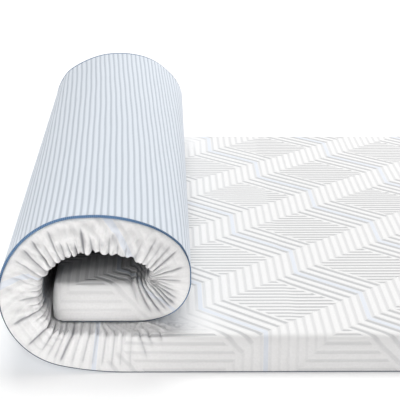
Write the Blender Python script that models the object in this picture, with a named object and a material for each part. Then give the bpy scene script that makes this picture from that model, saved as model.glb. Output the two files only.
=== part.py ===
"""A queen mattress topper, half rolled up.

The topper lies on the floor (z = 0) and its left end is rolled over, so that the ribbed
underside shows on the outside of the roll and the white quilted face lies inside.
Lengths are in metres. Y runs along the roll, X along the topper's length, Z up.

Every piece is first laid out flat. A point of that flat layout has three measures:
    s   the way along the topper, from the flat end to the rolled end
    w   the way across it, from the front side to the back side
    n   the height above the underside
The function rolled() then carries the flat layout round the roll.
"""
import math
import random

import bmesh
import bpy
import numpy as np

# ---------------------------------------------------------------- sizes of the topper
WIDTH = 1.524            # across, along the roll
THICK = 0.079            # whole thickness, cover and underside included
FLAT_RUN = 1.0908        # the part that lies on the floor
END_RUN = 0.1605         # the last straight part, lying on top of the floor run
EDGE_ROUND = 0.015       # rounding of the top edge and of the corners in plan

# outer line of the roll, from the floor run to the last straight part
ROLL_ARCS = [
    # (radius, turn in degrees)
    (0.597, 12.1),
    (0.149, 45.6),
    (0.150, 56.4),
    (0.167, 60.1),
    (0.276, 33.8),
    (0.157, 17.4),
    (0.096, 54.0),
    (0.114, 80.6),
]

# the rolled end presses on the layer below it
SQUEEZE = [
    # (turn in degrees, height of the top face there)
    (0.0, 0.0790),
    (6.0, 0.0756),
    (9.0, 0.0720),
    (12.1, 0.0666),
    (20.0, 0.0632),
    (30.0, 0.0600),
    (36.0, 0.0580),
    (42.0, 0.0685),
    (50.0, 0.0790),
]
END_CURL = 0.007         # the rolled end's lower edge curls up this far
END_CURL_LENGTH = 0.025
END_SEAT = 0.0018        # more room for the cord where the end curls

# how the roll departs from a straight one
SET_BACK = 0.060         # the rolled end lies this far behind the front side
SET_BACK_TURN = 262.0    # degrees of roll after which the set-back begins
BACK_RISE = 0.026        # the back of the roll is this share taller than the front
BACK_SWAY = 0.012        # its back sways this far to the left at SWAY_HEIGHT
SWAY_HEIGHT = 0.262
BACK_LEAN = 0.018        # and from there this far back to the right at its top

# underside panel, with ribs that run across the topper
PANEL_THICK = 0.0022
PANEL_INSET = 0.0053
RIB_PITCH = 0.0135
RIB_HEIGHT = 0.0010

# piping cord round the edge of the underside
CORD_RADIUS = 0.0024
CORD_INSET = 0.0025
CORD_HEIGHT = 0.0027

# filled cover
BODY_INSET = 0.0020
SEAT = [
    # (way in from the side, height): the lower edge that the cord nestles against
    (0.0000, 0.0070),
    (0.0020, 0.0050),
    (0.0075, 0.0027),
]
SIDE_BULGE = 0.0020      # the side stands out this far at half height

# gathers on the sides of the rolled part
GATHER_PITCH = 0.0300    # along the outer line
GATHER_DEPTH = 0.0042    # at the inner edge
GATHER_START = 0.10      # they begin this far before the roll leaves the floor
GATHER_REACH = 0.045     # and run this far in over the top edge
DEEP_CREASES = [
    # (turn in degrees, width in degrees, extra depth as a share)
    (42.0, 16.0, 0.9),
    (262.0, 30.0, 0.7),
    (318.0, 26.0, 1.1),
]

COLLECTION = "mattress_topper"


# ---------------------------------------------------------------- path of the roll
def path_pieces():
    """The outer line as (start s, start x, start z, start turn, radius, end turn)."""
    pieces = []
    s, x, z, turn = FLAT_RUN, 0.0, 0.0, 0.0
    for radius, degrees in ROLL_ARCS:
        end_turn = turn + math.radians(degrees)
        pieces.append((s, x, z, turn, radius, end_turn))
        s += radius * (end_turn - turn)
        x += radius * (math.sin(turn) - math.sin(end_turn))
        z += radius * (math.cos(turn) - math.cos(end_turn))
        turn = end_turn
    return pieces, s, x, z


ARC_PIECES, ROLL_END, END_X, END_Z = path_pieces()
LENGTH = ROLL_END + END_RUN


def turn_at(s):
    """How far the topper has turned at s, in radians."""
    if s <= FLAT_RUN:
        return 0.0
    for start, _, _, turn, radius, end_turn in ARC_PIECES:
        if s <= start + radius * (end_turn - turn):
            return turn + (s - start) / radius
    return ARC_PIECES[-1][5]


def s_at_turn(degrees):
    """The place along the topper where it has turned this far."""
    goal = math.radians(degrees)
    for start, _, _, turn, radius, end_turn in ARC_PIECES:
        if goal <= end_turn:
            return start + radius * (goal - turn)
    return ROLL_END


def outer_line(s):
    """Point of the outer line and the turn there."""
    if s <= FLAT_RUN:
        return FLAT_RUN - s, 0.0, 0.0
    turn = turn_at(s)
    if s >= ROLL_END:
        return END_X - (s - ROLL_END), END_Z, turn
    for start, x, z, first, radius, end_turn in ARC_PIECES:
        if s <= start + radius * (end_turn - first):
            return (x + radius * (math.sin(first) - math.sin(turn)),
                    z + radius * (math.cos(first) - math.cos(turn)), turn)
    return END_X, END_Z, turn


def smooth_step(value, low, high):
    share = min(1.0, max(0.0, (value - low) / (high - low)))
    return share * share * (3.0 - 2.0 * share)


SET_BACK_START = s_at_turn(SET_BACK_TURN)


def end_curl(s):
    """Share of the curl of the rolled end at s."""
    share = max(0.0, s - LENGTH + END_CURL_LENGTH) / END_CURL_LENGTH
    return share * share


def squeezed(turn, n):
    """Height after the layer is pressed by the rolled end; the lower edge stays as it is."""
    seat = SEAT[0][1]
    if n <= seat:
        return n
    turns = [row[0] for row in SQUEEZE]
    heights = [row[1] for row in SQUEEZE]
    top = float(np.interp(math.degrees(turn), turns, heights))
    return seat + (n - seat) * (top - seat) / (THICK - seat)


def rolled(s, w, n):
    """Carry a point of the flat layout to its place in the rolled topper."""
    x, z, turn = outer_line(s)
    n = squeezed(turn, n)
    x += n * math.sin(turn)
    z += n * math.cos(turn)
    y = w + SET_BACK * smooth_step(s, SET_BACK_START, ROLL_END)
    back = w / WIDTH
    above = max(0.0, z - THICK)
    if s > FLAT_RUN:
        x -= BACK_SWAY * back * min(1.0, above / (SWAY_HEIGHT - THICK))
        x += BACK_LEAN * back * smooth_step(z, SWAY_HEIGHT, 0.322)
        z += BACK_RISE * back * above
    z += END_CURL * end_curl(s) * max(0.0, 1.0 - n / THICK)
    return x, y, z


# ---------------------------------------------------------------- gathers
def gather_stations():
    """Places along the rolled part where the gathers dip and swell, with their size."""
    chance = random.Random(11)
    stations = []
    s = FLAT_RUN - GATHER_START
    stop = LENGTH - 2.2 * EDGE_ROUND
    while s < stop:
        pitch = GATHER_PITCH * chance.uniform(0.72, 1.28)
        if s + 1.5 * pitch > stop:
            pitch = stop - s
        size = chance.uniform(0.55, 1.25)
        lean = chance.uniform(0.28, 0.45)
        stations.append((s, -0.9 * size))
        stations.append((s + lean * pitch, 0.75 * size))
        stations.append((s + (lean + 0.33) * pitch, size))
        s += pitch
    return stations


def gather_size(s):
    """Share of the full gather depth at s."""
    share = 0.22 + 0.78 * smooth_step(s, FLAT_RUN + 0.03, s_at_turn(30.0))
    share *= smooth_step(s, FLAT_RUN - GATHER_START - 0.01, FLAT_RUN)
    share *= 1.0 - 0.88 * smooth_step(s, ROLL_END - 0.03, ROLL_END + 0.05)
    turn = math.degrees(turn_at(s))
    for middle, width, extra in DEEP_CREASES:
        share *= 1.0 + extra * math.exp(-((turn - middle) / width) ** 2)
    return share


# ---------------------------------------------------------------- helpers
def clear_scene():
    for obj in list(bpy.data.objects):
        bpy.data.objects.remove(obj, do_unlink=True)
    for old in list(bpy.data.collections):
        bpy.data.collections.remove(old)


def material(name, colour, roughness):
    mat = bpy.data.materials.new(name)
    mat.use_nodes = True
    shader = mat.node_tree.nodes["Principled BSDF"]
    shader.inputs["Base Color"].default_value = (*colour, 1.0)
    shader.inputs["Roughness"].default_value = roughness
    shader.inputs["Metallic"].default_value = 0.0
    mat.diffuse_color = (*colour, 1.0)
    return mat


def add_object(name, mesh, mat):
    obj = bpy.data.objects.new(name, mesh)
    obj.data.materials.clear()
    obj.data.materials.append(mat)
    bpy.data.collections[COLLECTION].objects.link(obj)
    return obj


def grid_solid(columns, rows, cuts):
    """A closed slab made from a grid, with rows of points up its sides."""
    bm = bmesh.new()
    bmesh.ops.create_grid(bm, x_segments=columns - 1, y_segments=rows - 1, size=0.5)
    lifted = bmesh.ops.extrude_face_region(bm, geom=bm.faces[:])
    top = [item for item in lifted["geom"] if isinstance(item, bmesh.types.BMVert)]
    bmesh.ops.translate(bm, verts=top, vec=(0.0, 0.0, 1.0))
    if cuts:
        upright = [e for e in bm.edges if abs(e.verts[0].co.z - e.verts[1].co.z) > 0.5]
        bmesh.ops.subdivide_edges(bm, edges=upright, cuts=cuts, use_grid_fill=True)
    bmesh.ops.recalc_face_normals(bm, faces=bm.faces[:])
    return bm


def grid_place(vert, columns, rows, cuts):
    """Which column, row and level a point of the slab belongs to."""
    column = round((vert.co.x + 0.5) * (columns - 1))
    row = round((vert.co.y + 0.5) * (rows - 1))
    level = round(vert.co.z * (cuts + 1))
    return column, row, level


def finish_mesh(bm, name):
    mesh = bpy.data.meshes.new(name)
    bm.to_mesh(mesh)
    bm.free()
    for face in mesh.polygons:
        face.use_smooth = True
    mesh.set_sharp_from_angle(angle=math.radians(40.0))
    return mesh


# ---------------------------------------------------------------- filled cover
def round_off(along, across, radius):
    """Move a point of a square corner onto a round one. Both are ways in from the sides."""
    a = radius - along
    b = radius - across
    if a <= 0.0 or b <= 0.0:
        return along, across, min(along, across)
    reach = max(a, b)
    scale = reach / math.hypot(a, b)
    return radius - a * scale, radius - b * scale, radius - reach


def seat_height(inset):
    insets = [row[0] for row in SEAT]
    heights = [row[1] for row in SEAT]
    return float(np.interp(inset, insets, heights))


def make_cover(mat):
    rim = [0.0, 0.0020, 0.0075, EDGE_ROUND]
    gathers = gather_stations()
    first_gather = gathers[0][0]

    along = [(BODY_INSET + s, 0.0) for s in rim]
    along += [(s, 0.0) for s in (0.25, 0.50, 0.75, first_gather - 0.02)]
    along += gathers
    along += [(LENGTH - BODY_INSET - s, 0.0) for s in reversed(rim)]

    body_width = WIDTH - 2.0 * BODY_INSET
    across = rim + [GATHER_REACH]
    across = across + [body_width - w for w in reversed(across)]

    side_top = THICK - EDGE_ROUND
    levels = [SEAT[0][1], 0.024, 0.043, side_top]
    cuts = len(levels) - 2
    columns, rows = len(along), len(across)

    bm = grid_solid(columns, rows, cuts)
    for vert in bm.verts:
        column, row, level = grid_place(vert, columns, rows, cuts)
        s, wave = along[column]
        w = across[row]

        # rounded corners in plan
        from_end = min(s, LENGTH - s) - BODY_INSET
        from_side = min(w, body_width - w)
        in_s, in_w, inset = round_off(from_end, from_side, EDGE_ROUND)
        in_s += BODY_INSET
        s_flat = in_s if s < LENGTH / 2 else LENGTH - in_s
        w_flat = in_w if w < body_width / 2 else body_width - in_w

        # height, and which way is outward
        out_w, out_n = 1.0, 0.0
        if level == 0:
            n = seat_height(inset)
            fade = 0.0
        elif level <= cuts:
            n = levels[level]
            fade = ((n - levels[0]) / (side_top - levels[0])) ** 1.3
        else:
            fallen = max(0.0, EDGE_ROUND - inset)
            rise = math.sqrt(max(0.0, EDGE_ROUND ** 2 - fallen ** 2))
            n = side_top + rise
            out_w = fallen / EDGE_ROUND
            out_n = rise / EDGE_ROUND
            fade = 1.0 - 0.55 * smooth_step(inset, 0.004, EDGE_ROUND)
            if inset > EDGE_ROUND + 1e-6:
                fade = 0.0

        # the side's crown
        bulge = 0.0
        if 0 < level <= cuts:
            bulge = SIDE_BULGE * math.sin(math.pi * (n / side_top) * 0.9)

        side = -1.0 if w < body_width / 2 else 1.0
        swell = GATHER_DEPTH * wave * gather_size(s) * fade
        on_side = from_side < EDGE_ROUND + 1e-6
        if on_side:
            w_flat += side * (bulge + swell) * out_w
            if side > 0.0 and turn_at(s) < math.radians(60.0):
                swell = min(swell, 0.0)
            n += swell * out_n
        elif from_end < 1e-6 and bulge:
            s_flat += -bulge if s < LENGTH / 2 else bulge

        if level == 0:
            n += END_SEAT * end_curl(s_flat)
        vert.co = rolled(s_flat, w_flat + BODY_INSET, n)

    bmesh.ops.reverse_faces(bm, faces=bm.faces[:])
    return add_object("filled_cover", finish_mesh(bm, "filled_cover"), mat)


# ---------------------------------------------------------------- underside panel
def panel_corner():
    """Columns of a rounded corner, as (way in from the end, way in from the side)."""
    middle = BODY_INSET + EDGE_ROUND
    radius = middle - PANEL_INSET
    steps = [math.radians(step) for step in (0.0, 30.0, 60.0, 90.0)]
    return [(middle - radius * math.cos(a), middle - radius * math.sin(a)) for a in steps]


def make_panel(mat):
    """A knitted sheet; ribs stand out where it shows on the roll."""
    corner = panel_corner()
    along = [(s, 0.0, inset) for s, inset in corner]
    along += [(s, 0.0, PANEL_INSET) for s in (0.35, 0.70, FLAT_RUN)]
    rib_start = FLAT_RUN + RIB_PITCH
    rib_count = int((LENGTH - END_CURL_LENGTH - rib_start) / RIB_PITCH)
    for index in range(rib_count):
        s = rib_start + index * RIB_PITCH
        for step, groove in ((0.0, 0.0), (0.0020, 1.0), (0.0042, 1.0), (0.0062, 0.0)):
            along.append((s + step, groove * RIB_HEIGHT, PANEL_INSET))
    along.append((rib_start + rib_count * RIB_PITCH, 0.0, PANEL_INSET))
    along += [(LENGTH - s, 0.0, inset) for s, inset in reversed(corner)]

    columns, rows = len(along), 2
    bm = grid_solid(columns, rows, 0)
    for vert in bm.verts:
        column, row, level = grid_place(vert, columns, rows, 0)
        s, groove, inset = along[column]
        n = PANEL_THICK if level else groove
        vert.co = rolled(s, WIDTH - inset if row else inset, n)
    bmesh.ops.reverse_faces(bm, faces=bm.faces[:])
    return add_object("bottom_panel", finish_mesh(bm, "bottom_panel"), mat)


# ---------------------------------------------------------------- piping
def cord_line():
    """The cord's middle line in the flat layout: once round the edge of the underside."""
    low_s, high_s = CORD_INSET, LENGTH - CORD_INSET
    low_w, high_w = CORD_INSET, WIDTH - CORD_INSET
    radius = EDGE_ROUND - 0.0005
    side = [low_s + radius, 0.35, 0.70, FLAT_RUN]
    side += list(np.linspace(FLAT_RUN + 0.012, ROLL_END - 0.008, 112))
    side += [ROLL_END + 0.01, LENGTH - END_CURL_LENGTH, high_s - radius]

    corner = [math.radians(step) for step in (15.0, 30.0, 45.0, 60.0, 75.0)]
    line = [(s, low_w) for s in side]
    line += [(high_s - radius + radius * math.sin(a), low_w + radius - radius * math.cos(a))
             for a in corner]
    line += [(high_s, low_w + radius), (high_s, high_w - radius)]
    line += [(high_s - radius + radius * math.cos(a), high_w - radius + radius * math.sin(a))
             for a in corner]
    line += [(s, high_w) for s in reversed(side)]
    line += [(low_s + radius - radius * math.sin(a), high_w - radius + radius * math.cos(a))
             for a in corner]
    line += [(low_s, high_w - radius), (low_s, low_w + radius)]
    line += [(low_s + radius - radius * math.cos(a), low_w + radius - radius * math.sin(a))
             for a in corner]
    return line


def make_cord(mat):
    curve = bpy.data.curves.new("piping_line", "CURVE")
    curve.dimensions = "3D"
    curve.bevel_depth = CORD_RADIUS
    curve.bevel_resolution = 1
    curve.use_fill_caps = True
    line = cord_line()
    spline = curve.splines.new("POLY")
    spline.points.add(len(line) - 1)
    for point, (s, w) in zip(spline.points, line):
        point.co = (*rolled(s, w, CORD_HEIGHT), 1.0)
    spline.use_cyclic_u = True

    holder = bpy.data.objects.new("piping_line", curve)
    bpy.data.collections[COLLECTION].objects.link(holder)
    depsgraph = bpy.context.evaluated_depsgraph_get()
    mesh = bpy.data.meshes.new_from_object(holder.evaluated_get(depsgraph))
    bpy.data.objects.remove(holder, do_unlink=True)
    bpy.data.curves.remove(curve)
    mesh.name = "piping"
    for face in mesh.polygons:
        face.use_smooth = True
    return add_object("piping", mesh, mat)


def centre_on_floor(objects):
    """Put the middle of the whole topper over the origin, its underside on z = 0."""
    points = np.array([tuple(v.co) for obj in objects for v in obj.data.vertices])
    low = points.min(axis=0)
    high = points.max(axis=0)
    shift = (-(low[0] + high[0]) / 2.0, -(low[1] + high[1]) / 2.0, -low[2])
    for obj in objects:
        for vert in obj.data.vertices:
            vert.co.x += shift[0]
            vert.co.y += shift[1]
            vert.co.z += shift[2]
        obj.data.update()
    print("size", [round(float(v), 4) for v in high - low])
    print("shift", [round(float(v), 5) for v in shift])


def main():
    clear_scene()
    collection = bpy.data.collections.new(COLLECTION)
    bpy.context.scene.collection.children.link(collection)
    white_knit = material("white_knit", (0.86, 0.86, 0.85), 0.85)
    ribbed_knit = material("ribbed_knit", (0.68, 0.76, 0.84), 0.85)
    blue_cord = material("blue_cord", (0.075, 0.20, 0.40), 0.70)
    parts = [
        make_cover(white_knit),
        make_panel(ribbed_knit),
        make_cord(blue_cord),
    ]
    centre_on_floor(parts)
    for obj in parts:
        faces = sum(len(face.vertices) - 2 for face in obj.data.polygons)
        print(obj.name, "triangles", faces)


main()
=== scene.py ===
# %% [markdown]
# # A mattress topper, half rolled up
# A mattress topper is a thick quilt that lies on a mattress to make it softer. This one has a
# filled white knitted cover, a ribbed pale-blue sheet under it, and a blue cord sewn round the
# edge where the two meet. Its left end is rolled over, so the ribbed underside shows on the
# outside of the roll. The solids come ready made in model.glb, and this script gives each
# of them its visible form, its cloth and its colour. Lengths are in metres.

# %% load the solids
import math
import random
from types import SimpleNamespace

import bmesh
import bpy
import numpy as np
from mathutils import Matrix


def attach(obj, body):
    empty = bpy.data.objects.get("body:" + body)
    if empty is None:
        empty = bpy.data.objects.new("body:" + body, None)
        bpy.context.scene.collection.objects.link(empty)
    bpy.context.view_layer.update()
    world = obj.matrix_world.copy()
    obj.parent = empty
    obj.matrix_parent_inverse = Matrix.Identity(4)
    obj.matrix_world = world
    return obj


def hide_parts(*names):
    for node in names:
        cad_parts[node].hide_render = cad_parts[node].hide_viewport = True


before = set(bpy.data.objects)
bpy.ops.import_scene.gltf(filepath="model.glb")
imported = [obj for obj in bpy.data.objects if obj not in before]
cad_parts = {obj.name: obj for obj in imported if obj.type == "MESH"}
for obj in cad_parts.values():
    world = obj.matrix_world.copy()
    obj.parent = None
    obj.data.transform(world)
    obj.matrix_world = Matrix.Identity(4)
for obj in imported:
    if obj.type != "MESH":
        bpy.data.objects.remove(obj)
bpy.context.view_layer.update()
print("solids", sorted(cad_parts))

# %% [markdown]
# ## The way round the roll
# Every piece of the topper is first laid out flat, as on a cutting table, and then rolled up.
# A point of the flat layout has three measures: s is the way along the topper from its flat
# end, w is the way across it from its front side, and n is the height above the underside.
# The roll could be drawn as a free spiral, but a chain of arcs that touch each other is easy
# to measure and to bend cloth round. These are the sizes that the solids were made with.

# %% sizes of the topper
WIDTH = 1.524
THICK = 0.079
FLAT_RUN = 1.0908
END_RUN = 0.1605
EDGE_ROUND = 0.015
# how far the cover stands in from the topper's outline
BODY_INSET = 0.0020
# where the flat layout's corner lies in the finished object
CENTRE = (-0.42103, -0.79001, 0.0)
ROLL_ARCS = [
    # (radius, turn in degrees)
    (0.597, 12.1), (0.149, 45.6), (0.150, 56.4), (0.167, 60.1),
    (0.276, 33.8), (0.157, 17.4), (0.096, 54.0), (0.114, 80.6),
]
SQUEEZE = [
    # (turn in degrees, height of the top face there)
    (0.0, 0.0790), (6.0, 0.0756), (9.0, 0.0720), (12.1, 0.0666), (20.0, 0.0632),
    (30.0, 0.0600), (36.0, 0.0580), (42.0, 0.0685), (50.0, 0.0790),
]
# only what lies above this height is squeezed
SEAT_HEIGHT = 0.0070
# the rolled end's tip curls up by so much over this length, and its lowest edge by END_SEAT
END_CURL, END_CURL_LENGTH, END_SEAT = 0.007, 0.025, 0.0018
# the rolled end stands back from the front, growing from this turn on
SET_BACK, SET_BACK_TURN = 0.060, 262.0
# towards its back the roll is taller, sways to the left, and leans to the right near its top
BACK_RISE, BACK_SWAY, BACK_LEAN = 0.026, 0.012, 0.018
SWAY_HEIGHT, LEAN_HEIGHT = 0.262, 0.322
SAG = [
    # (turn in degrees, how far inwards the filled cloth lies there at the front)
    (178.0, 0.0), (205.0, -0.0048), (225.0, -0.0048), (245.0, 0.0), (268.0, 0.0042),
    (290.0, 0.0028), (315.0, 0.0),
]


# %% the chain of arcs
def chain_arcs():
    """Each arc as (start s, start x, start z, start turn, radius, end turn), and its end."""
    arcs = []
    s, x, z, turn = FLAT_RUN, 0.0, 0.0, 0.0
    for radius, degrees in ROLL_ARCS:
        last = turn + math.radians(degrees)
        arcs.append((s, x, z, turn, radius, last))
        s += radius * (last - turn)
        x += radius * (math.sin(turn) - math.sin(last))
        z += radius * (math.cos(turn) - math.cos(last))
        turn = last
    return arcs, s, x, z


ARCS, ROLL_END, END_X, END_Z = chain_arcs()
LENGTH = ROLL_END + END_RUN


def s_at_turn(degrees):
    """The place along the topper where it has turned this far."""
    goal = math.radians(degrees)
    for start, _, _, turn, radius, last in ARCS:
        if goal <= last:
            return start + radius * (goal - turn)
    return ROLL_END


def ease(value, low, high):
    """0 up to low, 1 from high on, and a smooth step between them."""
    share = np.clip((value - low) / (high - low), 0.0, 1.0)
    return share * share * (3.0 - 2.0 * share)


def window(value, opening, closing):
    """1 between two smooth steps, each given as (low, high), and 0 outside them."""
    return ease(value, *opening) * (1.0 - ease(value, *closing))


def read_off(value, table):
    """The value of a table of (place, value) rows, in straight lines from row to row."""
    return np.interp(value, *zip(*table))


print("the whole topper is", round(LENGTH, 4), "long, and is rolled from", FLAT_RUN, "on")


# %% rolling up flat points
def outer_line(s):
    """Points of the roll's outer line, and how far it has turned there, for an array of s."""
    x, z, turn = FLAT_RUN - s, np.zeros_like(s), np.zeros_like(s)
    for start, arc_x, arc_z, first, radius, last in ARCS:
        here = s > start
        now = np.minimum(first + (s - start) / radius, last)
        x = np.where(here, arc_x + radius * (math.sin(first) - np.sin(now)), x)
        z = np.where(here, arc_z + radius * (math.cos(first) - np.cos(now)), z)
        turn = np.where(here, now, turn)
    x = np.where(s > ROLL_END, END_X - (s - ROLL_END), x)
    return x, z, turn


def end_curl(s):
    """Share of the curl at the rolled end."""
    return (np.maximum(0.0, s - LENGTH + END_CURL_LENGTH) / END_CURL_LENGTH) ** 2


def roll_up(flat):
    """Carry flat points, as an array of (s, w, n), to their places in the rolled topper."""
    s, w, n = flat[:, 0], flat[:, 1], flat[:, 2]
    x, z, turn = outer_line(s)
    top = read_off(np.degrees(turn), SQUEEZE)
    pressed = SEAT_HEIGHT + (n - SEAT_HEIGHT) * (top - SEAT_HEIGHT) / (THICK - SEAT_HEIGHT)
    n = np.where(n > SEAT_HEIGHT, pressed, n)
    n = n + read_off(np.degrees(turn), SAG) * (1.0 - w / WIDTH)
    x = x + n * np.sin(turn)
    z = z + n * np.cos(turn)
    y = w + SET_BACK * ease(s, s_at_turn(SET_BACK_TURN), ROLL_END)
    back, above = w / WIDTH, np.maximum(0.0, z - THICK)
    sway = BACK_LEAN * ease(z, SWAY_HEIGHT, LEAN_HEIGHT)
    sway = sway - BACK_SWAY * np.minimum(1.0, above / (SWAY_HEIGHT - THICK))
    x = np.where(s > FLAT_RUN, x + sway * back, x)
    z = np.where(s > FLAT_RUN, z + BACK_RISE * back * above, z)
    z = z + END_CURL * end_curl(s) * np.maximum(0.0, 1.0 - n / THICK)
    return np.stack([x + CENTRE[0], y + CENTRE[1], z + CENTRE[2]], axis=1)


# %% [markdown]
# ## Helpers for a layer of cloth
# The cover and the underside are both layers with a rounded outline. Each could be a box with
# bevelled edges, but then its points would not follow the ribs of the cloth. So a layer starts
# as a grid whose lines are placed where they are wanted, and its border is extruded outwards
# and down in rings. Two grids of different fineness can be bridged under the roll, where
# nobody sees the join. Each point remembers where on the border it came from.

# %% a grid with chosen lines
# lengths closer than this count as the same
TINY = 1e-5


def new_layer():
    """An empty bmesh, and two layers that its points keep: start is the place on the border
    that a point comes from, with its ring, and push is the way outwards there."""
    bm = bmesh.new()
    layers = bm.verts.layers.float_vector
    layers.new("start")
    layers.new("push")
    return bm, layers["start"], layers["push"]


def lay_grid(bm, along, across, start, push):
    """A grid in bm with lines at these s and w; start and push are layers that it fills."""
    made = bmesh.ops.create_grid(bm, x_segments=len(along) - 1, y_segments=len(across) - 1,
                                 size=0.5)
    for vert in made["verts"]:
        column = round((vert.co.x + 0.5) * (len(along) - 1))
        row = round((vert.co.y + 0.5) * (len(across) - 1))
        vert.co = (along[column], across[row], 0.0)
        vert[start] = (along[column], across[row], 0.0)
        vert[push] = (0.0, 0.0, 0.0)


def border_edges(bm):
    return [edge for edge in bm.edges if edge.is_boundary]


# %% round corners
CORNER_STEPS = (0.0, 0.0008, 0.0018)


def corner_push(near_s, near_w, side_s, side_w):
    """Which way the border goes outwards at a border point. Near a corner it turns smoothly."""
    last = len(CORNER_STEPS) - 1
    if near_s == 0 and near_w >= last:
        return side_s, 0.0
    if near_w == 0 and near_s >= last:
        return 0.0, side_w
    angle = math.radians(45.0 + 45.0 * (near_s - near_w) / last)
    return side_s * math.cos(angle), side_w * math.sin(angle)


def aim_border(bm, lowest, highest, start, push):
    """Give every border point its outward direction. The border runs from the lowest (s, w) to
    the highest, and a point counts the steps of a corner that it is past, along each way."""
    for vert in bm.verts:
        if not vert.is_boundary:
            continue
        sides, near = [], []
        for value, low, high in zip(vert[start], lowest, highest):
            sides.append(-1.0 if value - low < high - value else 1.0)
            off = min(value - low, high - value)
            near.append(sum(1 for step in CORNER_STEPS if step + TINY < off))
        vert[push] = (*corner_push(*near, *sides), 0.0)


# %% rings round the border, and the hidden face behind
def add_rings(bm, rings, start, push):
    """Extrude the border once for each ring, given as (way outwards, height)."""
    edges = border_edges(bm)
    for number, (out, height) in enumerate(rings, start=1):
        grown = bmesh.ops.extrude_edge_only(bm, edges=edges)["geom"]
        fresh = {item for item in grown if isinstance(item, bmesh.types.BMVert)}
        for vert in fresh:
            s, w, _ = vert[start]
            vert[start] = (s, w, float(number))
            vert.co = (s + out * vert[push][0], w + out * vert[push][1], height)
        edges = [item for item in grown if isinstance(item, bmesh.types.BMEdge)
                 and item.verts[0] in fresh and item.verts[1] in fresh]
    return edges


def close_behind(bm, edges, push):
    """Bridge the front border to the back border, then fill the two ends."""
    sides = [edge for edge in edges
             if all(abs(abs(vert[push][1]) - 1.0) < TINY for vert in edge.verts)]
    bmesh.ops.bridge_loops(bm, edges=sides)
    bmesh.ops.holes_fill(bm, edges=border_edges(bm), sides=0)


def to_mesh(bm, name):
    mesh = bpy.data.meshes.new(name)
    bm.to_mesh(mesh)
    bm.free()
    return mesh


def to_layer_mesh(bm, name):
    """A closed mesh of the flat layer. Rolling up mirrors it, so its faces are turned now."""
    bmesh.ops.recalc_face_normals(bm, faces=bm.faces[:])
    bmesh.ops.reverse_faces(bm, faces=bm.faces[:])
    return to_mesh(bm, name)


# %% reading and writing a mesh's points as arrays
def read_points(mesh, layer=None):
    values = np.zeros(len(mesh.vertices) * 3)
    if layer is None:
        mesh.vertices.foreach_get("co", values)
    else:
        mesh.attributes[layer].data.foreach_get("vector", values)
    return values.reshape(-1, 3)


def write_points(mesh, points):
    mesh.vertices.foreach_set("co", points.astype(np.float32).ravel())
    mesh.update()


def write_layer(mesh, name, values):
    """Keep three values for each point, for the material to read."""
    layer = mesh.attributes.new(name, "FLOAT_VECTOR", "POINT")
    layer.data.foreach_set("vector", values.astype(np.float32).ravel())


def into_scene(name, data):
    """A new object with this data, in the scene's own collection."""
    made = bpy.data.objects.new(name, data)
    bpy.context.scene.collection.objects.link(made)
    return made


def finish_piece(mesh, name, material):
    """An object at the origin, shaded smoothly, that rides on the topper's one body."""
    for old in ("start", "push"):
        if old in mesh.attributes:
            mesh.attributes.remove(mesh.attributes[old])
    mesh.polygons.foreach_set("use_smooth", [True] * len(mesh.polygons))
    mesh.materials.append(material)
    piece = into_scene(name, mesh)
    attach(piece, "root")
    triangles = sum(len(face.vertices) - 2 for face in mesh.polygons)
    print(name, "has", triangles, "triangles")
    return piece


# %% [markdown]
# ## Node helpers
# Materials here are built from many small sums. A short helper adds one Math node and links
# its inputs, so that the shaders below read almost like formulas. It could be done by hand in
# the Shader Editor, but a pattern with twenty sums is easier to check as text.

# %% short forms for nodes
def wire(value, socket):
    """Link a socket, or set a plain number or colour."""
    if isinstance(value, bpy.types.NodeSocket):
        socket.id_data.links.new(value, socket)
    else:
        socket.default_value = value


def new_node(kind, sockets, **settings):
    """A node with these settings and sockets, in the tree that the sockets' values come from."""
    tree = next(item.id_data for item in sockets.values()
                if isinstance(item, bpy.types.NodeSocket))
    node = tree.nodes.new("ShaderNode" + kind)
    for name, item in settings.items():
        setattr(node, name, item)
    for name, item in sockets.items():
        wire(item, node.inputs[name])
    return node


def calc(operation, *values):
    """One Math node. Returns its output."""
    return new_node("Math", dict(enumerate(values)), operation=operation).outputs[0]


def times(first, second):
    return calc("MULTIPLY", first, second)


def spread(value, low, high):
    """A smooth step of a value, from 0 at low to 1 at high."""
    return new_node("MapRange", {"Value": value, "From Min": low, "From Max": high},
                    interpolation_type="SMOOTHSTEP").outputs["Result"]


def blend_colour(share, first, second):
    """A Mix node for colours, which has its factor at 0 and its colours at 6 and 7."""
    return new_node("Mix", {0: share, 6: first, 7: second}, data_type="RGBA").outputs[2]


def split(vector):
    """The three parts of a vector."""
    return new_node("SeparateXYZ", {0: vector}).outputs


def noise(place, scale, detail=2.0):
    return new_node("TexNoise", {"Vector": place, "Scale": scale, "Detail": detail}).outputs["Fac"]


def bump(height, strength, distance):
    """A Bump node. Its normal can lie over the finer relief of another one."""
    return new_node("Bump", {"Height": height, "Strength": strength, "Distance": distance})


def use_group(group, **values):
    """A node group in use. Its sockets' names have spaces where these have underscores."""
    sockets = {label.replace("_", " "): value for label, value in values.items()}
    return new_node("Group", sockets, node_tree=group).outputs


def new_group(name, inputs, outputs):
    """An empty node group with these sockets, and its input and output nodes."""
    tree = bpy.data.node_groups.new(name, "ShaderNodeTree")
    for label, kind in inputs:
        tree.interface.new_socket(label, in_out="INPUT", socket_type=kind)
    for label, kind in outputs:
        tree.interface.new_socket(label, in_out="OUTPUT", socket_type=kind)
    return tree, tree.nodes.new("NodeGroupInput"), tree.nodes.new("NodeGroupOutput")


def on_points(tree, layer):
    """The three values that a layer keeps on each of the piece's own points."""
    node = tree.nodes.new("ShaderNodeAttribute")
    node.attribute_name = layer
    return node.outputs["Vector"]


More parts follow.
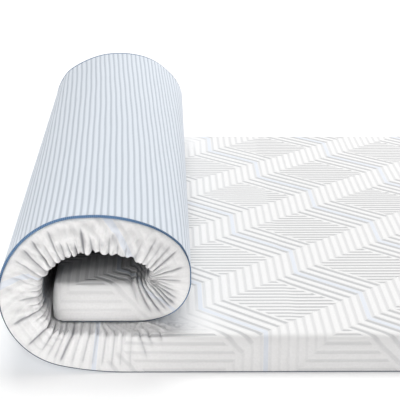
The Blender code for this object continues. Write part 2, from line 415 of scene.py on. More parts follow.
def new_material(name, roughness, sheen):
    """A material with a Principled shader. Returns the material, its tree and the shader."""
    material = bpy.data.materials.new(name)
    material.use_nodes = True
    tree = material.node_tree
    shader = tree.nodes["Principled BSDF"]
    shader.inputs["Roughness"].default_value = roughness
    shader.inputs["Metallic"].default_value = 0.0
    shader.inputs["Specular IOR Level"].default_value = 0.25
    shader.inputs["Sheen Weight"].default_value = sheen
    shader.inputs["Sheen Roughness"].default_value = 0.5
    return material, tree, shader


# %% [markdown]
# ## The knitted quilt pattern
# The cover is a double knit with soft raised ribs. They run across, along and at 45 degrees,
# and turn from one direction into another along mitred lines. The ribs could be an image, but
# a formula stays sharp at any size. Here slanting strips of crossways ribs alternate with
# strips of blocks, one block with lengthways ribs and the next with slanting ones. All borders
# lie on 45 degree lines and on whole steps of the ribs, so that every rib finds its next one.

# %% the pattern as a formula for arrays
QUILT_PITCH = 0.0175
# all of these count in ribs
FIRST_RIB = 4.0
STRIP, REPEAT = 8.0, 22.0
BLOCK, BLOCKS = 12.0, 24.0
SHIFT = 8.0
# the crossways ribs are lower than the others, and their shade is fainter
CROSSWAYS_HEIGHT = 0.45
CROSSWAYS_FAINTER = 0.54


def quilt_relief(s, w):
    """Height of the ribs from 0 to 1 at flat places of the cloth."""
    x, y = FIRST_RIB - s / QUILT_PITCH, w / QUILT_PITCH
    u, v = x + y, x - y
    strip = np.floor(v / REPEAT)
    crossways = v - REPEAT * strip < STRIP
    slanting = np.mod(u + SHIFT * strip, BLOCKS) < BLOCK
    turns = np.where(crossways, x, np.where(slanting, 0.5 * u, y))
    ribs = 0.5 + 0.5 * np.cos(2.0 * math.pi * turns)
    return np.where(crossways, 1.0 + CROSSWAYS_HEIGHT * (ribs - 1.0), ribs)


# %% the same pattern as a node group
# one crossways rib in BLUE_EVERY is blue, and it moves on by BLUE_STEP from strip to strip
BLUE_EVERY, BLUE_STEP = 12.0, 7.0
# the slanting rib of each block that carries the blue on
BLUE_SLANTING = 3.0


def choose(share, yes, no):
    """One value where share is 1, the other where it is 0."""
    return calc("MULTIPLY_ADD", share, calc("SUBTRACT", yes, no), no)


def quilt_group():
    """Ribs as Height, their grooves as Groove, and the pale-blue ribs as Tint."""
    tree, into, out = new_group(
        "quilt_ribs",
        [("Place", "NodeSocketVector"), ("Pitch", "NodeSocketFloat")],
        [("Height", "NodeSocketFloat"), ("Groove", "NodeSocketFloat"),
         ("Tint", "NodeSocketFloat")])
    along, across, _ = split(into.outputs["Place"])
    x = calc("SUBTRACT", FIRST_RIB, calc("DIVIDE", along, into.outputs["Pitch"]))
    y = calc("DIVIDE", across, into.outputs["Pitch"])
    u, v = calc("ADD", x, y), calc("SUBTRACT", x, y)
    strip = calc("FLOOR", calc("DIVIDE", v, REPEAT))
    crossways = calc("LESS_THAN", calc("MULTIPLY_ADD", strip, -REPEAT, v), STRIP)
    block = calc("FLOORED_MODULO", calc("MULTIPLY_ADD", strip, SHIFT, u), BLOCKS)
    slanting = calc("LESS_THAN", block, BLOCK)

    # how far along its rib cycle each place is, whichever way the ribs run there
    turns = choose(crossways, x, choose(slanting, times(u, 0.5), y))
    wave = calc("COSINE", times(turns, 2.0 * math.pi))
    soft = calc("MULTIPLY_ADD", crossways, -CROSSWAYS_FAINTER, 1.0)
    wire(times(spread(wave, -1.0, 0.3), soft), out.inputs["Height"])
    valley = calc("SUBTRACT", 1.0, spread(wave, -1.0, -0.15))
    wire(times(valley, soft), out.inputs["Groove"])

    # the blue ribs
    number = calc("MULTIPLY_ADD", strip, -BLUE_STEP, calc("ROUND", x))
    number = calc("FLOORED_MODULO", calc("SUBTRACT", number, BLUE_STEP), BLUE_EVERY)
    upright = calc("LESS_THAN", number, 0.5)
    leaning = calc("COMPARE", calc("ROUND", times(block, 0.5)), BLUE_SLANTING, 0.1)
    blue = choose(crossways, upright, times(leaning, slanting))
    wire(times(blue, spread(wave, -0.4, 0.3)), out.inputs["Tint"])
    return tree


QUILT = quilt_group()
print("quilt pattern with", len(QUILT.nodes), "nodes")


# %% [markdown]
# ## A fine knit
# From near by, the cover's ribs are made of small knitted loops, and the ribbed underside has
# short dashes of thread. Both are a tiny repeat that one group can give: rows of loops, each
# row half a loop further on, with a little unevenness from noise so that it isn't a machine's
# perfect grid.

# %% the knit group
def knit_group():
    """Small loops in offset rows, as Height from 0 to 1."""
    tree, into, out = new_group(
        "fine_knit",
        [("Place", "NodeSocketVector"), ("Loop Width", "NodeSocketFloat"),
         ("Loop Length", "NodeSocketFloat"), ("Unevenness", "NodeSocketFloat")],
        [("Height", "NodeSocketFloat"), ("Fleck", "NodeSocketFloat")])
    along, across, _ = split(into.outputs["Place"])
    fleck = noise(into.outputs["Place"], 260.0, 3.0)
    wander = times(calc("SUBTRACT", fleck, 0.5), into.outputs["Unevenness"])
    x = calc("ADD", calc("DIVIDE", along, into.outputs["Loop Width"]), wander)
    y = calc("DIVIDE", across, into.outputs["Loop Length"])
    y = calc("MULTIPLY_ADD", calc("FLOOR", x), 0.5, y)
    in_row = calc("PINGPONG", x, 0.5)
    in_loop = calc("PINGPONG", calc("ADD", y, wander), 0.5)
    loop = times(spread(in_row, 0.02, 0.32), spread(in_loop, 0.02, 0.36))
    wire(loop, out.inputs["Height"])
    wire(fleck, out.inputs["Fleck"])
    return tree


KNIT = knit_group()
print("knit with", len(KNIT.nodes), "nodes")


# %% [markdown]
# ## The white knitted cloth
# The cover's cloth is a warm near-white. Its ribs catch the light and the stitched grooves
# between them lie in a soft grey shade. A single white would look like paper, so the grooves
# get a painted grey, partly the stitched lines and mostly painted shade, a few ribs are tinted,
# and the relief is finished with a bump. Deep creases, crumpled dips and the inside of the roll
# get painted shade as well, a grey where light hardly comes.

# %% material of the cover
KNIT_WHITES = (0.85, 0.845, 0.84, 1.0), (0.89, 0.885, 0.88, 1.0)
# the grooves' grey: partly the real stitched lines, mostly painted shade
STITCH_AND_SHADE_GREY, STITCH_AND_SHADE_SHARE = (0.47, 0.475, 0.485, 1.0), 0.78
RIB_BLUE, BLUE_SHARE = (0.66, 0.73, 0.85, 1.0), 0.48
# painted shade in the creases of the gathers, narrow and broad
CREASE_SHADE_GREY, CREASE_SHADE_SHARE, BROAD_SHADE_SHARE = (0.36, 0.36, 0.38, 1.0), 0.70, 0.20
# painted shade deep inside the roll, where light hardly comes
INSIDE_SHADE_GREY, INSIDE_SHADE_SHARE = (0.10, 0.11, 0.13, 1.0), 0.95


def white_knit():
    material, tree, shader = new_material("white_knit_cloth", 0.86, 0.22)
    place = on_points(tree, "cloth")
    strength = split(place)[2]
    ribs = use_group(QUILT, Place=place, Pitch=QUILT_PITCH)
    knit = use_group(KNIT, Place=place, Loop_Width=0.0026, Loop_Length=0.0034, Unevenness=0.5)
    colour = blend_colour(spread(knit["Fleck"], 0.3, 0.7), *KNIT_WHITES)
    # painted shade in the grooves, with the stitched lines
    shade = times(times(ribs["Groove"], strength), STITCH_AND_SHADE_SHARE)
    colour = blend_colour(shade, colour, STITCH_AND_SHADE_GREY)
    colour = blend_colour(times(ribs["Tint"], BLUE_SHARE), colour, RIB_BLUE)
    # painted shade: in creases, in crumpled dips and deep inside the roll
    narrow, broad, inside = split(on_points(tree, "crease"))
    dark = times(spread(narrow, 0.10, 1.0), CREASE_SHADE_SHARE)
    dark = calc("MULTIPLY_ADD", broad, BROAD_SHADE_SHARE, dark)
    colour = blend_colour(dark, colour, CREASE_SHADE_GREY)
    colour = blend_colour(times(inside, INSIDE_SHADE_SHARE), colour, INSIDE_SHADE_GREY)
    wire(colour, shader.inputs["Base Color"])
    fine = bump(knit["Height"], 0.25, 0.0004)
    coarse = bump(times(ribs["Height"], strength), 0.9, 0.0024)
    wire(fine.outputs["Normal"], coarse.inputs["Normal"])
    wire(coarse.outputs["Normal"], shader.inputs["Normal"])
    return material


WHITE_KNIT = white_knit()
print("made", WHITE_KNIT.name)


# %% [markdown]
# ## Gathers
# Where the thick cover bends round the roll, its side is too long for the inner edge, so the
# cloth bunches into gathers: rounded puffs with sharp valleys between them. They could come
# from a cloth simulation, but their places are known, so each valley is listed, with
# its place at the top edge, its place at the lower edge, its strength, how far down the side
# it reaches and how its line bends. Between two valleys the cloth swells in a rounded arch.

# %% valleys on the front side
FRONT_VALLEYS = [
    # (s at the top edge, s at the lower edge, strength, reach down the side, bend)
    (0.905, 0.870, 0.00, 0.2, 1.2), (0.938, 0.900, 0.30, 0.2, 1.2), (0.968, 0.930, 0.62, 0.2, 1.2),
    (0.998, 0.958, 0.86, 0.2, 1.2), (1.026, 0.990, 0.95, 0.3, 1.2), (1.048, 1.022, 0.70, 0.4, 1.2),
    (1.065, 1.046, 0.60, 0.7, 1.4),
    (1.080, 1.084, 0.45, 1.0, 1.5), (1.098, 1.104, 0.50, 1.0, 1.5), (1.115, 1.121, 0.60, 1.1, 1.5),
    (1.134, 1.140, 0.62, 1.0, 1.5), (1.154, 1.160, 0.55, 1.1, 1.5), (1.171, 1.179, 0.66, 1.0, 1.5),
    (1.190, 1.199, 0.55, 1.1, 1.5), (1.207, 1.223, 1.15, 1.2, 1.5), (1.228, 1.237, 0.60, 1.0, 1.5),
    (1.246, 1.252, 0.60, 0.9, 1.5), (1.266, 1.268, 0.75, 0.8, 1.5), (1.292, 1.299, 1.20, 1.1, 1.5),
    (1.318, 1.318, 0.55, 0.4, 1.5), (1.338, 1.334, 0.70, 0.4, 1.5), (1.362, 1.354, 1.20, 1.0, 1.5),
    (1.388, 1.386, 0.75, 0.4, 1.5), (1.414, 1.408, 0.90, 0.6, 1.5), (1.438, 1.434, 0.80, 0.4, 1.5),
    (1.460, 1.468, 0.60, 0.9, 1.5), (1.478, 1.487, 0.55, 0.7, 1.5), (1.497, 1.506, 0.85, 1.0, 1.5),
    (1.521, 1.534, 1.00, 1.0, 1.5), (1.545, 1.562, 1.10, 1.1, 1.5), (1.566, 1.580, 0.65, 0.7, 1.5),
    (1.590, 1.600, 1.05, 1.0, 1.5), (1.608, 1.617, 0.75, 0.6, 1.5), (1.632, 1.628, 0.95, 0.5, 1.5),
    (1.652, 1.648, 0.90, 0.5, 1.5), (1.672, 1.668, 1.15, 0.8, 1.5), (1.693, 1.685, 0.85, 0.6, 1.5),
    (1.712, 1.705, 0.75, 0.5, 1.5), (1.735, 1.728, 0.80, 0.6, 1.5), (1.757, 1.746, 0.75, 0.5, 1.5),
    (1.778, 1.766, 0.65, 0.5, 1.5), (1.803, 1.800, 0.60, 0.7, 1.5), (1.826, 1.823, 0.75, 0.9, 1.5),
    (1.842, 1.840, 0.55, 0.8, 1.5), (1.858, 1.856, 0.75, 1.0, 1.5), (1.876, 1.872, 1.00, 1.0, 1.5),
    (1.893, 1.890, 0.45, 0.7, 1.5), (1.908, 1.912, 0.95, 1.0, 2.0), (1.920, 1.930, 0.50, 0.7, 3.0),
    (1.930, 1.946, 0.90, 0.9, 3.0), (1.938, 1.964, 0.70, 0.7, 3.5), (1.946, 1.982, 1.10, 0.8, 3.5),
    (1.956, 2.000, 1.40, 0.9, 3.5), (1.974, 2.017, 1.60, 1.0, 3.0), (2.006, 2.030, 1.50, 1.0, 2.5),
    (2.044, 2.043, 1.20, 1.0, 1.5), (2.072, 2.057, 1.60, 1.0, 1.2), (2.100, 2.074, 1.20, 0.9, 1.2),
    (2.126, 2.094, 0.70, 0.6, 1.2), (2.156, 2.130, 0.00, 0.4, 1.5),
]
print(len(FRONT_VALLEYS), "valleys on the front side")


# %% valleys on the back side
BACK_FROM, BACK_TO = 1.04, 2.09
# up to here the back's valleys are weak
BACK_WEAK = 1.15


def uneven_valleys():
    """The back's gathers, about as close and as strong as those on the front."""
    chance = random.Random(7)
    valleys, s = [(1.02, 1.01, 0.0, 0.5, 1.5)], BACK_FROM
    while s < BACK_TO:
        size = 0.3 if s < BACK_WEAK else chance.uniform(0.45, 1.05)
        lean = chance.uniform(-0.004, 0.012)
        valleys.append((s, s + lean, size, chance.uniform(0.5, 1.1), 1.5))
        s += chance.uniform(0.016, 0.026)
    return valleys + [(2.115, 2.115, 0.2, 0.5, 1.5), (2.14, 2.14, 0.0, 0.4, 1.5)]


BACK_VALLEYS = uneven_valleys()
print(len(BACK_VALLEYS), "valleys on the back side")


# %% the swell of the gathers
# a puff's highest place lies past its middle, its sides are steep, and it is set down by this
PUFF_LEAN, PUFF_STEEP, PUFF_DOWN = 0.78, 0.62, 0.58
NARROW_CREASE, BROAD_CREASE = 0.0026, 0.0065


def gather_swell(s, height, valleys):
    """How far the cloth swells out, from about -0.6 to 0.5, at a share of the side's height,
    and how near each point lies to a crease, in a narrow and in a broad measure."""
    table = np.array(valleys)
    rise = np.clip(height, 0.0, 1.0)[:, None] ** table[None, :, 4]
    lines = table[None, :, 1] + (table[None, :, 0] - table[None, :, 1]) * rise
    reach = table[None, :, 3]
    depth = table[None, :, 2] * ease(height[:, None], 0.95 - reach, 1.30 - reach)
    before = np.clip((lines <= s[:, None]).sum(axis=1) - 1, 0, len(valleys) - 2)
    rows = np.arange(len(s))
    low, high = lines[rows, before], lines[rows, before + 1]
    share = np.clip((s - low) / np.maximum(high - low, 1e-6), 0.0, 1.0)
    size = depth[rows, before] * (1.0 - share) + depth[rows, before + 1] * share
    puff = np.sin(math.pi * share ** PUFF_LEAN) ** PUFF_STEEP
    inside = (s > lines[:, 0]) & (s < lines[:, -1])
    nearest = np.where(share < 0.5, depth[rows, before], depth[rows, before + 1]) * inside
    off = np.minimum(s - low, high - s)
    narrow = nearest * np.exp(-(off / NARROW_CREASE) ** 2)
    broad = nearest * np.exp(-(off / BROAD_CREASE) ** 2)
    return np.where(inside, size * (puff - PUFF_DOWN), 0.0), narrow, broad


# %% [markdown]
# ## The filled cover
# This is the body of the topper: a pad 79 mm thick whose top edge is rounded and whose side
# stands upright. It is laid out flat from two grids. The first, on the flat run, has three
# lines to every rib so that the ribs are really raised. The second, for the roll, is fine
# along the topper and near the sides, where the gathers are, and sparse in the middle.

# %% lines of the two grids
EDGE = BODY_INSET + EDGE_ROUND
# where one grid ends and the other begins
JOIN = 0.77
# room between a border's close lines and the first evenly spaced one
ROOM = 0.003


def fine_lines(low, high, parts):
    """Lines that lie in step with the ribs, so many to a rib."""
    step = QUILT_PITCH / parts
    return [index * step for index in range(math.ceil(low / step), int(high / step) + 1)]


def mirrored(lines, length):
    """The same lines, seen from the other border."""
    return [length - v for v in reversed(lines)]


low_steps = [EDGE + step for step in CORNER_STEPS]
flat_along = low_steps + fine_lines(EDGE + ROOM, JOIN, 3)
flat_across = low_steps + fine_lines(EDGE + ROOM, WIDTH - EDGE - ROOM, 3)
flat_across += mirrored(low_steps, WIDTH)
roll_along = fine_lines(JOIN + ROOM, LENGTH - EDGE - ROOM, 8) + mirrored(low_steps, LENGTH)
roll_across = low_steps + [0.0219, 0.0270, 0.0330, 0.0400, 0.0480, 0.0580, 0.0720, 0.1100,
                           0.1650, 0.2400, 0.4000]
roll_across += mirrored(roll_across, WIDTH)
print("flat run", len(flat_along), "by", len(flat_across), "lines; roll", len(roll_along), "by",
      len(roll_across))


# %% rings of the cover
# one ring for each of these turns of the rounded edge, and then rings down the side
EDGE_TURNS = (22.5, 45.0, 67.5, 90.0)
EDGE_RINGS, SIDE_RINGS = len(EDGE_TURNS), 14
# below 1, the rounding is fuller than a circle
FULLNESS = 0.7
SIDE_BULGE = 0.0020


def cover_rings():
    """Way outwards, height, way over the cloth, and how much it faces up, for each ring."""
    rings, over = [], 0.0
    for turn in EDGE_TURNS:
        angle = math.radians(turn)
        out, drop = math.sin(angle) ** FULLNESS, 1.0 - math.cos(angle) ** FULLNESS
        rings.append((EDGE_ROUND * out, THICK - EDGE_ROUND * drop, EDGE_ROUND * angle,
                      math.cos(angle)))
    top = THICK - EDGE_ROUND
    for height in np.linspace(top, SEAT_HEIGHT, SIDE_RINGS + 1)[1:]:
        bulge = SIDE_BULGE * math.sin(math.pi * 0.9 * height / top)
        over = EDGE_ROUND * math.pi / 2.0 + top - height
        rings.append((EDGE_ROUND + bulge, float(height), over, 0.0))
    # the side ends without a bulge, and two more rings turn in under the cover
    rings[-1] = (EDGE_ROUND, SEAT_HEIGHT, over, 0.0)
    rings.append((EDGE_ROUND - 0.0020, 0.0050, over + 0.003, 0.0))
    rings.append((EDGE_ROUND - 0.0075, 0.0027, over + 0.009, 0.0))
    return rings


COVER_RINGS = cover_rings()


# %% the cover laid out flat
def flat_cover():
    bm, start, push = new_layer()
    lay_grid(bm, flat_along, flat_across, start, push)
    lay_grid(bm, roll_along, roll_across, start, push)
    for vert in bm.verts:
        vert.co.z = THICK
    seam = [edge for edge in bm.edges if edge.is_boundary
            and (all(abs(v.co.x - flat_along[-1]) < TINY for v in edge.verts)
                 or all(abs(v.co.x - roll_along[0]) < TINY for v in edge.verts))]
    bmesh.ops.bridge_loops(bm, edges=seam)
    aim_border(bm, (flat_along[0], flat_across[0]), (roll_along[-1], flat_across[-1]), start,
               push)
    edges = add_rings(bm, [ring[:2] for ring in COVER_RINGS], start, push)
    close_behind(bm, edges, push)
    return to_layer_mesh(bm, "cover")


cover_mesh = flat_cover()
print("flat cover", len(cover_mesh.vertices), "points")


# %% [markdown]
# ## Shaping the cover
# The flat cover gets its ribs, its gathers and its creases while it still lies flat, where each
# of them is a short formula, and is then rolled up. Everything could be sculpted on the rolled
# shape, but there the same fold is hard to move. Each point first gets a few measures, such as
# its height on the side or how far in from the side it lies, and each effect uses them. An
# effect comes and goes in smooth steps: along the topper in metres, or round the roll in
# degrees.

# %% sizes of the shaping
# height of a rib, swell of a gather out of the side and up at the rim, and depth of a crumple
RELIEF, GATHER, SCALLOP, CRUMPLE = 0.0018, 0.0115, 0.0060, 0.0085
# from this turn on, the side has left the floor
OFF_FLOOR = 60.0
# gathers fade out towards the side's foot, between these shares of its height
FOOT = (0.06, 0.30)
# how far gathers run in over the top, and how much further inside the roll
REACH_IN, REACH_MORE = 0.100, 1.2
INSIDE_FROM, INSIDE_TO = (70.0, 110.0), (230.0, 300.0)
# how much stronger than a gather on the roll's side its height is: in a valley of the rim near
# the floor, in a pleat before the roll, and on the top face inside the roll
VALLEY_MORE, PLEAT_MORE, INSIDE_MORE = 2.6, 2.2, 1.8
# before the roll the pleats slant over the top, and the rim itself is smooth
SLANT, SLANT_ENDS = 1.1, (1.08, 1.18)
SMOOTH_ENDS, SMOOTH_BAND = (0.99, 1.06), (0.002, 0.030)
PLEATS_END = 1.07
# crumpled cloth: where it starts and ends, where there is more of it and where less
LOOSE_FROM, LOOSE_TO = (20.0, 70.0), (335.0, 358.0)
MORE_LOOSE, LESS_LOOSE = (1.56, 1.64), (1.80, 1.88)
COARSE_CRUMPLE, FINE_CRUMPLE = (0.011, 0.016), (0.0075, 0.011)
# the free rim beside the pressed part: its own rise, its share of the pressed depth, and how
# far in from the side it goes
RIM_RISE, FREE_FROM, FREE_TO = 0.005, (1.02, 1.12), (1.26, 1.34)
FREE_SHARE, FREE_BAND = 0.72, (0.010, 0.056)
# the inner end: how far its front rim goes down, and how far it leans back
PILLOW, PILLOW_BACK, INNER_END = 0.003, 0.014, (2.02, 2.14)
# turns from which the cord shows, is half covered, and hides again, and where it is lit, so
# that its painted shade is less
SHOWS_FROM, HALF_COVERED, SHOWS_TO = (70.0, 125.0), (190.0, 212.0), (226.0, 250.0)
LIT_FROM, LIT_TO = (236.0, 256.0), (312.0, 340.0)
# heights near the lower edge, and what they become where it is pressed down
SEAT = [(0.0027, 0.0020), (0.0050, 0.0026), (0.0070, 0.0036), (0.0150, 0.0128)]
NOTCHES = [
    # (place along the rim, half width, drop)
    (1.300, 0.006, 0.004), (1.338, 0.004, 0.003), (1.365, 0.008, 0.004), (1.413, 0.005, 0.004),
    (1.440, 0.004, 0.003), (1.484, 0.013, 0.006), (1.562, 0.004, 0.004),
    (1.606, 0.006, 0.002), (1.661, 0.005, 0.007), (1.704, 0.012, 0.005), (1.752, 0.006, 0.003),
    (1.790, 0.008, 0.003), (1.836, 0.006, 0.003), (1.876, 0.005, 0.003),
]


def crumple(a, b):
    """Smooth random values from 0 to 1, one to each unit square of a and b."""
    chance = random.Random(3)
    table = np.array([[chance.random() for _ in range(64)] for _ in range(64)])
    col, row = np.floor(a).astype(int), np.floor(b).astype(int)
    x, y = ease(a - col, 0.0, 1.0), ease(b - row, 0.0, 1.0)
    low = table[col % 64, row % 64] * (1.0 - x) + table[(col + 1) % 64, row % 64] * x
    high = table[col % 64, (row + 1) % 64] * (1.0 - x)
    high = high + table[(col + 1) % 64, (row + 1) % 64] * x
    return low * (1.0 - y) + high * y


# %% where the lower edge is pressed down
def tucked(s):
    """1 where the lower edge is pressed down over the cord, 0 where the cord shows. Then how
    much painted shade the cord gets there, and the way square to the sheet."""
    turn = np.degrees(outer_line(s)[2])
    low = 1.0 - window(turn, SHOWS_FROM, SHOWS_TO) * (1.0 - 0.5 * ease(turn, *HALF_COVERED))
    dark = low * (1.0 - 0.85 * window(turn, LIT_FROM, LIT_TO))
    bend = np.radians(turn)
    return low, dark, np.stack([np.sin(bend), 0.0 * bend, np.cos(bend)], axis=1)


def tuck_edge(at):
    """The height of each point, with the lower edge down over the cord."""
    n, low = at.flat[:, 2], tucked(at.s)[0]
    seat = read_off(n, SEAT)
    n = np.where(at.ring > EDGE_RINGS, n + (seat - n) * low * (n < SEAT[-1][0]), n)
    lowest = at.ring >= len(COVER_RINGS) - 1
    return n + np.where(lowest, END_SEAT * end_curl(at.flat[:, 0]), 0.0)


# %% measures of each point
def measure_cover(mesh):
    """The border place (s, w) that each point comes from, its ring, its way over the cloth, how
    much it faces up and out, its share of the height, its inset and the turn there."""
    start = read_points(mesh, "start")
    at = SimpleNamespace(flat=read_points(mesh), push=read_points(mesh, "push"),
                         s=start[:, 0], w=start[:, 1], ring=np.rint(start[:, 2]).astype(int))
    table = np.array([(0.0, THICK, 0.0, 1.0)] + COVER_RINGS)
    at.over, at.up = table[at.ring, 2], table[at.ring, 3]
    at.out = np.where(at.ring > 0, np.sqrt(1.0 - at.up ** 2), 0.0)
    at.cloth_s = at.s + at.over * at.push[:, 0]
    at.cloth_w = at.w + at.over * at.push[:, 1]
    at.share = at.flat[:, 2] / THICK
    at.front = at.w < WIDTH / 2.0
    at.inset = np.minimum(at.w - EDGE, WIDTH - EDGE - at.w)
    at.turn = np.degrees(outer_line(at.s)[2])
    return at


def rib_lift(at):
    """How far each point sinks between the ribs, on the flat run and its rounded edge."""
    fade = np.where(at.ring == 0, 1.0, np.clip(1.0 - at.over / 0.03, 0.0, 1.0))
    fade = fade * (1.0 - ease(at.cloth_s, JOIN - 0.02, JOIN))
    return RELIEF * (quilt_relief(at.cloth_s, at.cloth_w) - 1.0) * fade


# %% gathers on both sides, and where they run in over the top
def add_gathers(at):
    """Swell and creases of the gathers, where they fade out, and how far the rim rises."""
    reach_in = REACH_IN * (1.0 + REACH_MORE * window(at.turn, INSIDE_FROM, INSIDE_TO))
    on_top = (at.ring == 0) & (at.inset < reach_in)
    at.touched = ((at.ring > 0) & (np.abs(at.push[:, 1]) > 0.5)) | on_top
    slant = SLANT * np.maximum(at.inset, 0.0) * (1.0 - ease(at.s, *SLANT_ENDS)) * on_top
    found = np.zeros((3, len(at.s)))
    for side, valleys in ((at.front, FRONT_VALLEYS), (~at.front, BACK_VALLEYS)):
        pick = at.touched & side
        found[:, pick] = gather_swell(at.s[pick] - slant[pick], at.share[pick], valleys)
    fading = np.where(at.flat[:, 2] > SEAT_HEIGHT + TINY, ease(at.share, *FOOT), 0.0)
    fading = fading * np.where(at.ring == 0, 1.0 - ease(at.inset / reach_in, 0.1, 1.0), 1.0)
    smooth_rim = (1.0 - ease(at.s, *SMOOTH_ENDS)) * (1.0 - ease(at.inset, *SMOOTH_BAND))
    at.fading = fading * (1.0 - smooth_rim)
    at.swell, at.narrow, at.broad = found * at.fading

    # near the floor only the valleys show at the rim, as notches
    lowered = np.minimum(at.swell - 0.15 * at.fading * (at.swell != 0.0), 0.0)
    raised = np.where(at.turn < OFF_FLOOR, VALLEY_MORE * lowered, at.swell)
    pleats = on_top & (at.swell != 0.0) & (at.s < PLEATS_END)
    raised = raised + PLEAT_MORE * (at.swell + 0.1) * pleats
    at.raised = raised * np.where((at.ring == 0) & (at.turn > OFF_FLOOR), INSIDE_MORE, 1.0)


# %% crumpled cloth between the gathers, and notches in the rim
def add_crumples(at):
    slack = window(at.turn, LOOSE_FROM, LOOSE_TO) * at.fading
    slack = slack * (0.62 + 0.38 * ease(at.cloth_s, *MORE_LOOSE))
    slack = slack * (1.25 - 0.85 * ease(at.cloth_s, *LESS_LOOSE))
    (long, wide), (short, slim) = COARSE_CRUMPLE, FINE_CRUMPLE
    bumps = crumple(at.s / long, at.cloth_w / wide) - 0.5
    bumps = bumps + 0.7 * (crumple(at.s / short + 31.0, at.cloth_w / slim) - 0.5)
    at.bumps = bumps * slack * at.touched
    rim = sum(drop * np.exp(-((at.s - place) / half) ** 2) for place, half, drop in NOTCHES)
    at.rim = rim * ease(at.share, 0.70, 1.0) * at.fading * at.touched


# %% the free rim, and the pillow-like inner end
def add_free_rim(at):
    """In front of the pressed part the rim is free, so its pleats stand higher there."""
    pressed = THICK - read_off(at.turn, SQUEEZE)
    free = RIM_RISE * window(at.s, FREE_FROM, FREE_TO) + FREE_SHARE * pressed
    free = free * ease(at.share, 0.40, 1.0) * at.touched
    free = free * np.where(at.ring == 0, 1.0 - ease(at.inset, *FREE_BAND), 1.0)
    at.free = free * (1.0 - 0.7 * np.clip(1.4 * at.broad, 0.0, 1.0))


def add_pillow(at):
    """The front rim of the inner end goes down a little and leans back."""
    here = ease(at.s, *INNER_END) * at.front
    at.leaning = PILLOW_BACK * here * ease(at.share, 0.30, 1.0) * (
        1.0 - ease(at.inset, 0.0, 0.06))
    at.free = at.free - PILLOW * here * ease(at.share, 0.35, 1.0) * (
        1.0 - np.clip(at.inset / 0.07, 0.0, 1.0)) ** 2


# %% what the cover's material reads
BUNCHED_FROM, BUNCHED_TO = (0.87, 0.96), (2.00, 2.10)
# how clear the ribs stay on the side
SIDE_RIBS = 0.36
# the painted shade of the creases near the inner end is softer
SOFT_CREASES = (1.93, 1.97)
# how fast the painted shade inside the roll grows, from the side inwards; past the turn, on
# the inner end, it starts further in
DARKER_FROM, DARKER, INNER_DARKER = (30.0, 75.0), (0.002, 0.040), (0.12, 0.32)
INNER_TURN, INNER_SHARE = 300.0, 0.84


def write_cloth(mesh, at):
    """The way along and across the cloth, and how clear its ribs are. They are fainter down
    the side and where the cloth is bunched."""
    ribs = np.where(at.ring > EDGE_RINGS, SIDE_RIBS, 1.0 - 0.15 * at.ring)
    ribs = ribs * (1.0 - 0.4 * ease(at.turn, 10.0, 60.0) * (at.ring > 0))
    at.bunched = window(at.cloth_s, BUNCHED_FROM, BUNCHED_TO) * (at.ring == 0)
    ribs = ribs * (1.0 - 0.80 * at.bunched * (1.0 - ease(at.inset, 0.06, 0.20)))
    write_layer(mesh, "cloth", np.stack([at.cloth_s, at.cloth_w, ribs], axis=1))


def write_painted_shade(mesh, at):
    """How much painted shade each place gets: in a narrow crease, in a broad one, and inside
    the roll.
    """
    lighter = 0.92 + 0.08 * ease(at.turn, 50.0, 75.0)
    softer = 1.0 - 0.45 * ease(at.s, *SOFT_CREASES)
    inside = np.where(at.turn < INNER_TURN, ease(at.inset, *DARKER),
                      INNER_SHARE * ease(at.inset, *INNER_DARKER))
    inside = inside * (at.ring == 0) * ease(at.turn, *DARKER_FROM)
    wider = 2.2 - softer + 0.5 * at.bunched + 1.5 * (inside > 0.0)
    # painted shade in the dips of the crumpled cloth
    hollow = np.clip(-2.4 * at.bumps, 0.0, 1.0)
    write_layer(mesh, "crease", np.stack(
        [at.narrow * lighter * softer, at.broad * lighter * wider + hollow, inside], axis=1))


# %% shape the cover and roll it up
def shape_cover(mesh):
    at = measure_cover(mesh)
    for add in (add_gathers, add_crumples, add_free_rim, add_pillow):
        add(at)
    lift = rib_lift(at)
    depth = GATHER * (0.45 + 0.55 * ease(at.share, 0.25, 1.0))
    outwards = lift + depth * at.swell + CRUMPLE * at.bumps
    upwards = lift + SCALLOP * at.raised + CRUMPLE * np.minimum(at.bumps, 0.0)
    write_points(mesh, roll_up(np.stack([
        at.flat[:, 0] + lift * at.out * at.push[:, 0],
        at.flat[:, 1] + at.leaning + outwards * at.out * at.push[:, 1],
        tuck_edge(at) + upwards * at.up + at.free - at.rim], axis=1)))
    write_cloth(mesh, at)
    write_painted_shade(mesh, at)


shape_cover(cover_mesh)
cover = finish_piece(cover_mesh, "knitted_cover", WHITE_KNIT)
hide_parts("filled_cover")


# %% [markdown]
# ## The ribbed underside
# The underside is a stretchy knitted sheet with raised ribs about 13 mm apart that run across
# the topper. It shows on the outside of the roll. The ribs could be a bump alone, but their
# outline is seen against the light at the top of the roll, so they are modelled, with a small
# wander in each rib, and the bump only adds the thread.

# %% material of the underside
RIB_PITCH = 0.0129
# the crests have the cloth's pale blue, and the dips between the ribs get a painted shade
RIB_CREST, RIB_DIP_SHADE = (0.745, 0.795, 0.855, 1.0), (0.50, 0.545, 0.60, 1.0)
DASH_COLOUR, DASH_SHARE = (0.55, 0.60, 0.68, 1.0), 0.14


